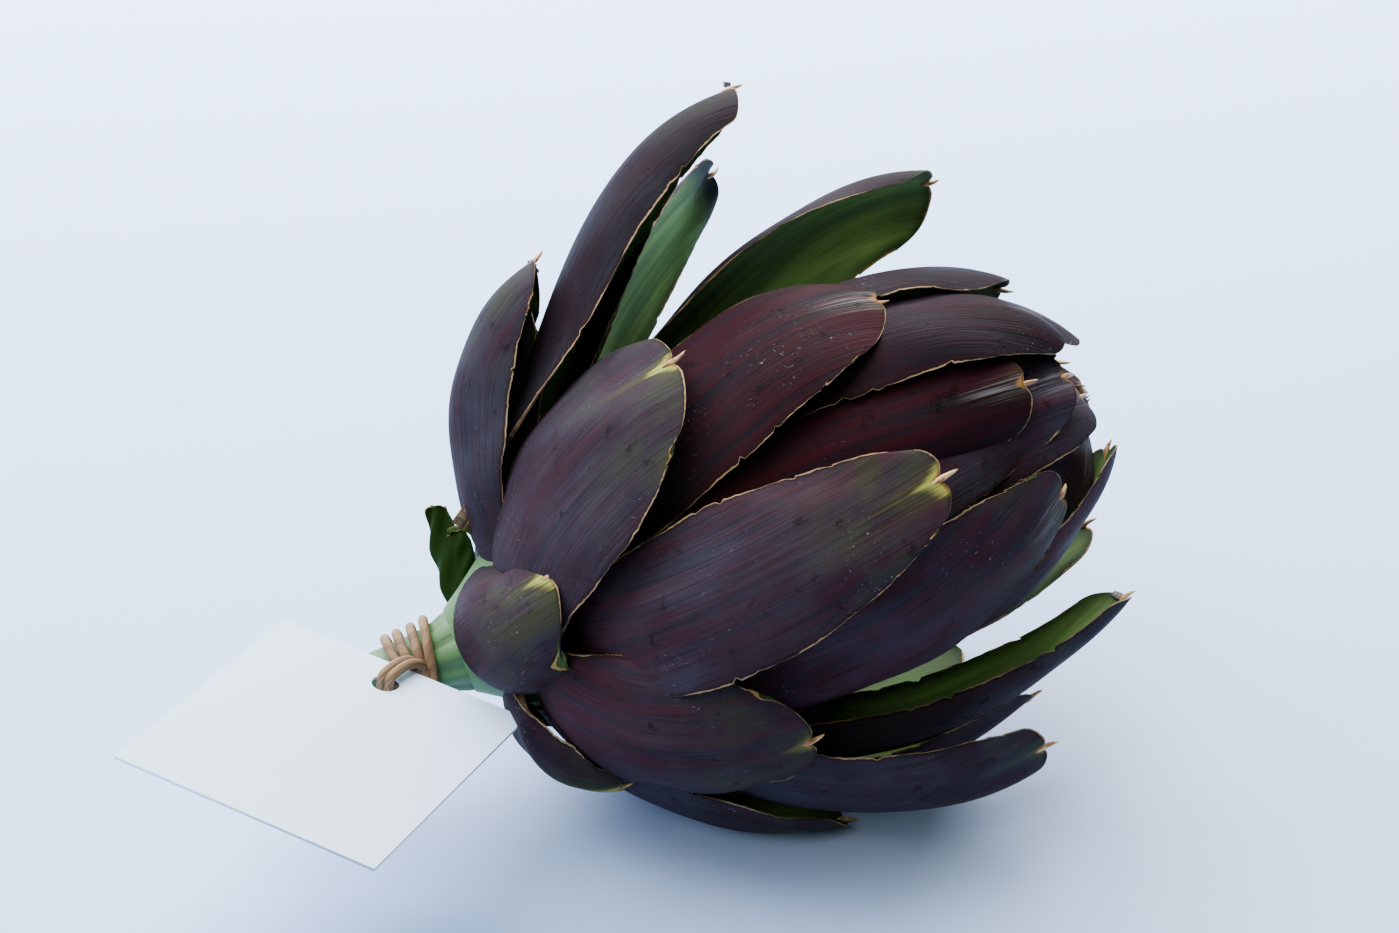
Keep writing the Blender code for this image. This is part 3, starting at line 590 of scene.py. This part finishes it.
# One row a bract, in degrees and mm. azimuth: where it sits round the head, 0 facing the camera and
# 90 on top. root: how far along and out from the axis it starts. open: its angle from the axis at the foot,
# on the way and at the tip. cup: the radius it is cupped to, at the foot and at the tip.
outerBracts = {
    "tall_upper": dict(azimuth=89, root=(3, 21), length=98, width=41, open=(34, 79, -5), cup=(24, 13),
                       twist=1, roll=23, roll_root=-19, blunt=0.7, rounding=0.35, base=0.35,
                       flakes=((0.3, 3.2),)),
    "tall_behind": dict(azimuth=103, root=(8, 14), length=95, width=31, open=(49, 53, 29), cup=(13, 18),
                        twist=18, roll_root=-2, blunt=0.60, rounding=0.8),
    "wing_behind": dict(azimuth=110, root=(14, 17), length=106, width=34, open=(22, 55, -20), cup=(28, 7),
                        twist=-2, roll=5, roll_root=-26, blunt=0.76, rounding=0.9),
    "collar_upper": dict(azimuth=80, root=(5, 11), length=63, width=36, open=(96, 73, 10), cup=(15, 10),
                         twist=6, roll=-9, roll_root=-2, blunt=0.72, rounding=0.6, flakes=((0.3, 2.8),)),
    "shoulder_upper": dict(azimuth=39, root=(6, 17), length=55, width=49, open=(72, 35, 0), cup=(34, 32),
                           twist=6, roll=-4, roll_root=-5, blunt=0.69, rounding=0.6, base=0.8),
    "front": dict(azimuth=-14, root=(14, 17), length=82, width=30, open=(83, 1, -1), cup=(37, 21), twist=12,
                  roll=-6, roll_root=-7, blunt=0.48, rounding=0.8, base=0.45),
    "shoulder_lower": dict(azimuth=-49, root=(5, 17), length=56, width=43, open=(85, 26, -2), cup=(22, 21),
                           twist=-2, roll_root=-3, blunt=0.58, rounding=0.7),
    "foot_front": dict(azimuth=-96, root=(4, 15), length=65, width=34, open=(74, 48, 5), cup=(20, 18),
                       roll=1, blunt=0.70, rounding=0.7),
    "splayed_lower": dict(azimuth=-78, root=(9, 16), length=92, width=27, open=(57, 39, -12), cup=(20, 25),
                          twist=5, roll=-18, roll_root=-3, blunt=0.62, rounding=0.6),
    "splayed_mid": dict(azimuth=-100, root=(11, 18), length=112, width=29, open=(47, 16, -32), cup=(11, 9),
                        twist=10, roll=2, roll_root=4, blunt=0.64, rounding=0.8,
                    flakes=((-0.3, 2.6),)),
    "splayed_under": dict(azimuth=-106, root=(8, 18), length=96, width=26, open=(60, 23, -22),
                          cup=(17, 17), twist=8, roll=-12, roll_root=-5, blunt=0.73, rounding=0.7),
    "inner_under": dict(azimuth=-138, root=(14, 21), length=108, width=24, open=(37, 9, -29), cup=(25, 20),
                        twist=6, roll=-2, roll_root=-2, blunt=0.68, rounding=0.9),
    "upper_body": dict(azimuth=34, root=(17, 24), length=75, width=36, open=(34, 30, -35), cup=(26, 30),
                       twist=21, roll=2, roll_root=-2, blunt=0.76, rounding=0.9),
    "middle_body": dict(azimuth=16, root=(24, 28), length=82, width=30, open=(22, 1, -22), cup=(24, 9),
                        twist=-2, roll=6, roll_root=1, blunt=0.64, rounding=0.7),
    "lower_body": dict(azimuth=-49, root=(24, 31), length=85, width=33, open=(19, 13, -45), cup=(34, 22),
                       twist=17, roll=-4, roll_root=9, blunt=0.55, rounding=1.0),
    "foot_behind": dict(azimuth=-146, root=(4, 15), length=62, width=36, open=(78, 50, 8), cup=(20, 18)),
    "splayed_behind": dict(azimuth=-142, root=(8, 18), length=93, width=34, open=(50, 34, 0), cup=(18, 15)),
    "collar_middle": dict(azimuth=101, root=(6, 15), length=46, width=40, open=(70, 62, 42), cup=(22, 18)),
    "collar_behind": dict(azimuth=152, root=(2, 13), length=58, width=34, open=(86, 52, 6), cup=(20, 18)),
    "back_low": dict(azimuth=-174, root=(5, 15), length=66, width=40, open=(76, 36, -8), cup=(24, 24)),
    "back_high": dict(azimuth=136, root=(14, 22), length=80, width=38, open=(46, 10, -16), cup=(28, 22)),
    "back_mid": dict(azimuth=166, root=(12, 21), length=86, width=38, open=(52, 14, -14), cup=(30, 24)),
}
smallBracts = {
    "foot_knob": dict(azimuth=7, root=(-5, 8), length=34, width=47, open=(87, 50, 16), cup=(13, 9), twist=6,
                      roll=-27, roll_root=-2, blunt=0.61, rounding=0.8),
    "foot_lower": dict(azimuth=-76, root=(-1, 11), length=31, width=26, open=(103, 66, 7), cup=(16, 16),
                       roll=-1, roll_root=-1, blunt=0.70, rounding=0.7),
    "foot_back": dict(azimuth=-150, root=(-2, 10), length=34, width=28, open=(92, 50, 0), cup=(16, 16)),
    "ear": dict(azimuth=104, root=(-2, 8), length=20, width=7, open=(88, 82, 76), cup=(5, 4), roll_root=65,
                rounding=0.9, blunt=0.5, spine=0, ragged=0.15),
    "ear_low": dict(azimuth=100, root=(0, 9), length=13, width=6, open=(84, 76, 70), cup=(5, 4),
                    roll_root=60, rounding=0.9, blunt=0.5, spine=0, ragged=0.15),
}
bodyBracts = {
    "crown_top": dict(azimuth=80, root=(36, 32), length=80, width=39, open=(-2, 31, -48), cup=(31, 16),
                      twist=13, roll=-8, roll_root=-7, blunt=0.94, rounding=0.6),
    "crown_upper": dict(azimuth=52, root=(37, 30), length=85, width=33, open=(8, 26, -61), cup=(28, 15),
                        twist=-2, roll=-2, roll_root=-9, blunt=0.65, rounding=0.6),
    "crown_front": dict(azimuth=-3, root=(44, 30), length=74, width=29, open=(18, -12, -37), cup=(34, 13),
                        twist=21, roll=10, roll_root=-12, blunt=0.63, rounding=1.0),
    "crown_high": dict(azimuth=57, root=(43, 30), length=84, width=29, open=(13, 7, -59), cup=(32, 19),
                       twist=4, roll=-5, roll_root=-4, blunt=0.55, rounding=0.7),
    "crown_lower": dict(azimuth=-51, root=(44, 29), length=84, width=27, open=(9, 10, -75), cup=(22, 23),
                        twist=-7, roll=-9, roll_root=-6, blunt=0.85, rounding=0.8),
    "crown_under": dict(azimuth=-79, root=(41, 28), length=85, width=33, open=(2, 18, -60), cup=(27, 17),
                        twist=-3, roll=7, roll_root=5, blunt=0.79, rounding=0.8),
    "body_under": dict(azimuth=-110, root=(26, 28), length=82, width=36, open=(20, 2, -40), cup=(30, 20)),
    "body_behind_low": dict(azimuth=-136, root=(28, 30), length=84, width=38, open=(22, 4, -38),
                            cup=(32, 22)),
    "body_behind": dict(azimuth=-168, root=(24, 29), length=84, width=40, open=(24, 4, -34), cup=(33, 24)),
    "body_behind_high": dict(azimuth=152, root=(30, 30), length=84, width=38, open=(20, 4, -40),
                             cup=(32, 22)),
    "body_behind_top": dict(azimuth=116, root=(26, 29), length=86, width=38, open=(24, 5, -38),
                            cup=(32, 22)),
    "crown_behind": dict(azimuth=-152, root=(38, 30), length=86, width=32, open=(14, 0, -56), cup=(32, 18)),
    "crown_behind_high": dict(azimuth=172, root=(40, 30), length=86, width=31, open=(12, 0, -58),
                              cup=(32, 18)),
    "crown_behind_top": dict(azimuth=128, root=(40, 30), length=86, width=31, open=(12, 0, -56),
                             cup=(32, 18)),
    "heart_front": dict(azimuth=2, root=(57, 25), length=67, width=21, open=(9, 7, -66), cup=(26, 14),
                        twist=3, roll=-12, roll_root=-7, blunt=0.65, rounding=0.7),
}
# The heart's own bracts are a golden angle apart, each a little further up, closer in and shorter
heart = dict(count=13, turn=137.5, firstAzimuth=30.0, root=(57.0, 27.0), step=0.8, sinks=0.5, length=70.0,
             shorter=0.96, width=26.0, open=(4.0, -6.0, -62.0), cup=(28.0, 14.0), firstSeed=100)
heartLook = dict(red=1.0, bloom=0.3, green=0.0, patch=0.1)

bractSeed = 0
# How strongly each finish shows on a bract, from 0 to 1, and how far painted shade darkens it
plainLook = dict(red=0.5, bloom=0.6, green=0.5, patch=0.6, dark=0.6, leafy=0.0, tan=0.0, paintedShade=0.0, innerPaintedShade=0.0)
groupLooks = (
    (outerBracts, dict(red=0.4, bloom=0.75, green=0.6)),
    (smallBracts, dict(red=0.4, bloom=0.7, green=0.7, patch=0.9)),
    (bodyBracts, dict(red=0.85, bloom=0.35, green=0.1, patch=0.2, tan=1.0, paintedShade=0.15)),
)
ownLooks = {
    "tall_upper": dict(bloom=0.8, patch=0.2, paintedShade=0.6),
    "tall_behind": dict(dark=1.0, patch=0.0),
    "wing_behind": dict(dark=0.5, patch=0.0, paintedShade=0.4),
    "collar_upper": dict(bloom=1.0, patch=0.1, paintedShade=0.2),
    "shoulder_upper": dict(bloom=0.85, patch=1.0, green=0.8, paintedShade=0.15),
    "front": dict(red=0.55, bloom=0.6, patch=1.0, green=1.0),
    "shoulder_lower": dict(red=0.6, bloom=0.55, patch=0.2),
    "splayed_lower": dict(bloom=0.7, patch=0.1),
    "inner_under": dict(innerPaintedShade=0.45),
    "upper_body": dict(red=0.9, bloom=0.2, patch=0.7, green=0.15, tan=1.0, paintedShade=0.5),
    "middle_body": dict(red=0.9, bloom=0.05, patch=0.7, green=0.0, tan=1.0, paintedShade=0.42),
    "lower_body": dict(red=1.0, bloom=0.55, patch=0.5, tan=1.0, paintedShade=0.0),
    "foot_behind": dict(innerPaintedShade=0.5),
    "splayed_behind": dict(innerPaintedShade=0.6),
    "foot_knob": dict(bloom=0.9, patch=1.0, green=0.8),
    "foot_lower": dict(bloom=0.4, paintedShade=0.3),
    "ear": dict(leafy=1.0, patch=0.0),
    "ear_low": dict(leafy=1.0, patch=0.0),
    "crown_top": dict(red=0.6, bloom=0.5, paintedShade=0.7),
    "crown_upper": dict(red=0.6, bloom=0.4, paintedShade=0.6),
    "crown_front": dict(red=0.8, bloom=1.0, paintedShade=0.0),
    "crown_high": dict(red=0.6, bloom=0.5, paintedShade=0.4),
    "crown_lower": dict(red=0.9, bloom=0.7, paintedShade=0.0),
    "crown_under": dict(red=1.0, bloom=0.4, paintedShade=0.0),
    "body_under": dict(innerPaintedShade=0.6),
    "heart_front": dict(red=1.0, bloom=0.7),
}
for group, groupLook in groupLooks:
    for name, shape in group.items():
        bractSeed += 1
        makeBract(name, shape, bractSeed, {**plainLook, **groupLook, **ownLooks.get(name, {})})
print("bracts made")

for i in range(heart["count"]):
    root = (heart["root"][0] + heart["step"] * i, heart["root"][1] - heart["sinks"] * i)
    shape = dict(azimuth=heart["firstAzimuth"] + heart["turn"] * i, root=root, open=heart["open"],
                 cup=heart["cup"], length=heart["length"] - heart["shorter"] * i, width=heart["width"])
    makeBract(f"heart_{i}", shape, heart["firstSeed"] + i, {**plainLook, **heartLook})
print("heart made")


# Receptacle and the closed heart inside the bracts

# Distance along the axis and radius, in mm
coreProfile = ((-5.0, 8.0), (-1.0, 10.7), (5.0, 15.0), (14.0, 21.0), (26.0, 27.0), (40.0, 30.0),
               (56.0, 30.5), (70.0, 29.5), (82.0, 27.0), (93.0, 22.5), (102.0, 16.0), (108.0, 8.0))


def makeCore():
    points = [headFoot + along * headAxis for along, _ in coreProfile]
    piece = taperedTube("heart_core", points, [radius for _, radius in coreProfile], 10)
    spots = np.array([v.co for v in piece.data.vertices]) / mm - headFoot
    setAttribute(piece, "along", spots @ headAxis)
    piece.data.materials.clear()
    piece.data.materials.append(coreMaterial)
    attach(piece, "root")
    return piece


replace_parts(makeCore(), "head")
print("core made")


# Stem

# The ribs lean a little as they run, and their skin lies just inside the tie's turns
stemRibs = dict(count=9, depth=0.03, turn=0.02, sides=48, stations=40, end=-2.0, inside=0.15,
                skinRadius=6.0)
# Along the axis, shift away from the front, and radius, in mm
stemRoute = ((-40.0, 4.2, 5.6), (-32.0, 2.8, 5.6), (-24.0, 1.6, 5.7), (-17.0, 0.7, 5.8), (-11.0, 0.2, 6.1),
             (-8.0, 0.0, 6.6), (-5.3, 0.0, 7.6))


def stemAt(along):
    places, shifts, radii = np.array(stemRoute).T
    return np.interp(along, places, shifts), np.interp(along, places, radii)


def stemSpot(along, towardFront=0.0, over=0.0):
    return headFoot + along * headAxis + (towardFront - stemAt(along)[0]) * frontWay + over * overWay


def makeStem():
    stations = np.linspace(stemRoute[0][0], stemRibs["end"], stemRibs["stations"])
    bpy.ops.mesh.primitive_cylinder_add(vertices=stemRibs["sides"], radius=1, depth=2, end_fill_type="NGON")
    piece = bpy.context.object
    piece.name = "ribbed_stem"
    bpy.ops.object.mode_set(mode="EDIT")
    bpy.ops.mesh.select_all(action="DESELECT")
    bpy.ops.object.mode_set(mode="OBJECT")
    for edge in piece.data.edges:  # the edges that run from end to end are cut, one ring for each station
        ends = [piece.data.vertices[i].co.z for i in edge.vertices]
        edge.select = abs(ends[0] - ends[1]) > 1
    bpy.ops.object.mode_set(mode="EDIT")
    bpy.ops.mesh.subdivide(number_cuts=len(stations) - 2)
    bpy.ops.object.mode_set(mode="OBJECT")
    sides, alongs = [], []
    for vert in piece.data.vertices:
        station = stations[round((vert.co.z + 1) / 2 * (len(stations) - 1))]
        around = math.atan2(vert.co.y, vert.co.x)
        rib = stemRibs["depth"] * math.cos(stemRibs["count"] * around + stemRibs["turn"] * station)
        radius = stemAt(station)[1] * (1 + rib) - stemRibs["inside"]
        spot = stemSpot(station, radius * math.cos(around), radius * math.sin(around))
        sides.append(around * stemRibs["skinRadius"])
        alongs.append(station)
        vert.co = Vector(spot * mm)
    setAttribute(piece, "side", sides)
    setAttribute(piece, "along", alongs)
    for skin in stemMaterials:
        piece.data.materials.append(skin)
    for face in piece.data.polygons:
        face.material_index = 1 if len(face.vertices) > 4 else 0
    piece.data.shade_smooth()
    piece.data.set_sharp_from_angle(angle=math.radians(50))
    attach(piece, "root")
    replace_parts(piece, "stem")
    return piece


makeStem()
print("stem made")


# Tag and its tie

tagCentre = np.array((-24.5, -33.3, 4.3))  # mm from the head's foot
tagYaw, tagPitch, tagRoll = (math.radians(angle) for angle in (-24.7, -7.0, 6.8))
tagSize = (49.5, 51.4, 0.6)
tagHole = dict(radius=2.5, inset=6.0, sides=48)
tagClipped = 3.2
strandRadius = 0.9
turns = ((-15.6, -1.0), (-13.9, -0.4), (-12.0, 0.4), (-10.4, 1.4))  # along the stem, and lean
turnClearance = 0.25
# Across the card, below its top edge and above its face, in mm
loopRoute = ((0.0, 6.0, -1.7), (0.0, 6.0, 0.0), (0.0, 5.6, 1.7), (0.6, 1.5, 2.2), (1.6, -1.2, 1.5),
             (2.0, -2.0, 0.1), (1.2, -0.9, -1.8), (0.4, 3.5, -2.2))
loopShifts = (-0.75, 0.75)
ringPoints = 64


def tagAxes():
    side = np.array((math.cos(tagYaw) * math.cos(tagRoll), math.sin(tagYaw) * math.cos(tagRoll),
                     -math.sin(tagRoll)))
    down = np.array((math.sin(tagYaw) * math.cos(tagPitch), -math.cos(tagYaw) * math.cos(tagPitch),
                     -math.sin(tagPitch)))
    side = side - side.dot(down) * down
    side /= np.linalg.norm(side)
    return side, down, np.cross(down, side)


def tagSpot(sideMm, downMm, upMm):
    side, down, up = tagAxes()
    return headFoot + tagCentre + sideMm * side + downMm * down + upMm * up


def makeTag():
    halfWidth, halfHeight, thickness = tagSize[0] / 2, tagSize[1] / 2, tagSize[2]
    outline = [(-halfWidth, halfHeight), (halfWidth - tagClipped, halfHeight),
               (halfWidth, halfHeight - tagClipped), (halfWidth, -halfHeight), (-halfWidth, -halfHeight)]
    angles = np.linspace(0, 2 * math.pi, tagHole["sides"], endpoint=False)
    radius = tagHole["radius"]
    hole = [(radius * math.cos(a), halfHeight - tagHole["inset"] + radius * math.sin(a)) for a in angles]
    curve = bpy.data.curves.new("blank_tag", "CURVE")
    curve.dimensions = "2D"
    curve.fill_mode = "BOTH"
    curve.extrude = thickness / 2 * mm
    for corners in (outline, hole):
        spline = curve.splines.new("POLY")
        spline.points.add(len(corners) - 1)
        for point, (x, y) in zip(spline.points, corners):
            point.co = (x * mm, y * mm, 0.0, 1.0)
        spline.use_cyclic_u = True
    piece = bpy.data.objects.new("blank_tag", curve)
    bpy.context.collection.objects.link(piece)
    piece.select_set(True)
    bpy.context.view_layer.objects.active = piece
    bpy.ops.object.convert(target="MESH")
    piece = bpy.context.object
    bpy.ops.object.mode_set(mode="EDIT")
    bpy.ops.mesh.select_all(action="SELECT")
    bpy.ops.mesh.remove_doubles(threshold=0.00001)
    bpy.ops.object.mode_set(mode="OBJECT")
    for vert in piece.data.vertices:
        vert.co = Vector(tagSpot(vert.co.x / mm, -vert.co.y / mm, vert.co.z / mm) * mm)
    piece.data.materials.append(card)
    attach(piece, "root")
    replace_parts(piece, "tag")
    return piece


def strandPiece(name, points, cyclic):
    piece = taperedTube(name, points, [strandRadius] * len(points), 4, cyclic)
    centres = np.array(points)
    spots = np.array([v.co for v in piece.data.vertices]) / mm
    nearest = np.argmin(np.linalg.norm(spots[:, None] - centres[None], axis=2), axis=1)
    steps = np.linalg.norm(np.diff(centres, axis=0), axis=1)
    travelled = np.concatenate([[0], np.cumsum(steps)])
    setAttribute(piece, "along", travelled[nearest])
    offset = spots - centres[nearest]
    setAttribute(piece, "side", np.arctan2(offset @ overWay, offset @ frontWay) * strandRadius)
    piece.data.materials.clear()
    piece.data.materials.append(fibre)
    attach(piece, "root")
    return piece


def smoothLoop(points):  # a closed smooth line through the points
    base = np.array(points)
    places = np.arange(len(base) + 1)
    dense = np.linspace(0, len(base), ringPoints, endpoint=False)
    result = []
    for place in dense:
        i = int(place)
        t = place - i
        p0, p1, p2, p3 = (base[(i + k) % len(base)] for k in (-1, 0, 1, 2))
        result.append(0.5 * (2 * p1 + (p2 - p0) * t + (2 * p0 - 5 * p1 + 4 * p2 - p3) * t * t
                             + (3 * p1 - p0 - 3 * p2 + p3) * t ** 3))
    return result


def makeTie():
    made = []
    for i, (along, tilt) in enumerate(turns):
        ring = []
        for angle in np.linspace(0, 2 * math.pi, ringPoints, endpoint=False):
            lean = along + tilt * math.sin(angle)
            radius = stemAt(lean)[1] + strandRadius + turnClearance
            ring.append(stemSpot(lean, radius * math.cos(angle), radius * math.sin(angle)))
        made.append(strandPiece(f"tie_turn_{i}", ring, True))
    for i, shift in enumerate(loopShifts):
        loop = [tagSpot(shift + side, below - tagSize[1] / 2, up) for side, below, up in loopRoute]
        made.append(strandPiece(f"tie_loop_{i}", smoothLoop(loop), True))
    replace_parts(made[0], "tie")


makeTag()
makeTie()
print("tag and tie made")


# Camera, light and floor

view = dict(place=(0.0077, -0.4060, 0.3281), tilt=57.0, lens=70.0, sensor=36.0)
camera = bpy.data.cameras.new("camera")
camera.lens = view["lens"]
camera.sensor_width = view["sensor"]
camera.clip_start = 0.01
camera.clip_end = 20.0
cameraPiece = bpy.data.objects.new("camera", camera)
bpy.context.scene.collection.objects.link(cameraPiece)
cameraPiece.location = view["place"]
cameraPiece.rotation_euler = (math.radians(view["tilt"]), 0.0, 0.0)
bpy.context.scene.camera = cameraPiece


def areaLight(name, place, target, size, energy, colour):
    light = bpy.data.lights.new(name, "AREA")
    light.shape = "RECTANGLE"
    light.size, light.size_y = size
    light.energy = energy
    light.color = linearColour(colour)[:3]
    piece = bpy.data.objects.new(name, light)
    bpy.context.scene.collection.objects.link(piece)
    piece.location = place
    piece.rotation_euler = (Vector(target) - Vector(place)).to_track_quat("-Z", "Y").to_euler()
    return piece


# A large soft light above and behind, a wash on the paper, a cool window on the left and a little fill
areaLight("softbox_above", (-0.25, 0.25, 0.9), (0.0, 0.03, 0.0), (1.2, 0.9), 30.0, "#fbfaff")
areaLight("backdrop_light", (-0.1, 0.76, 0.45), (-0.1, 0.68, 0.0), (1.6, 0.4), 50.0, "#fbfaff")
areaLight("window_left", (-0.9, 0.0, 0.6), (0.0, 0.0, 0.05), (0.5, 0.8), 9.0, "#cfdcff")
areaLight("fill_front", (-0.35, -0.65, 0.85), (0.0, 0.0, 0.05), (0.6, 0.6), 5.0, "#fffaf5")

world = bpy.data.worlds.new("pale studio")
bpy.context.scene.world = world
world.use_nodes = True
backdrop = world.node_tree.nodes["Background"]
backdrop.inputs["Color"].default_value = linearColour("#d6e4f5")
backdrop.inputs["Strength"].default_value = 0.08


def makeFloor():
    bpy.ops.mesh.primitive_plane_add(size=2)
    piece = bpy.context.object
    piece.name = "studio_floor"
    piece.scale = (3.0, 3.0, 1.0)
    bpy.ops.object.transform_apply(location=False, rotation=False, scale=True)
    made, tree, shader = newMaterial("pale seamless paper")
    colourInto(tree, shader, mixed(tree, 0.5, "#abc8ee", "#b3cef1"))
    shader.inputs["Roughness"].default_value = 0.7
    piece.data.materials.append(made)
    return piece


makeFloor()

print("scene done")
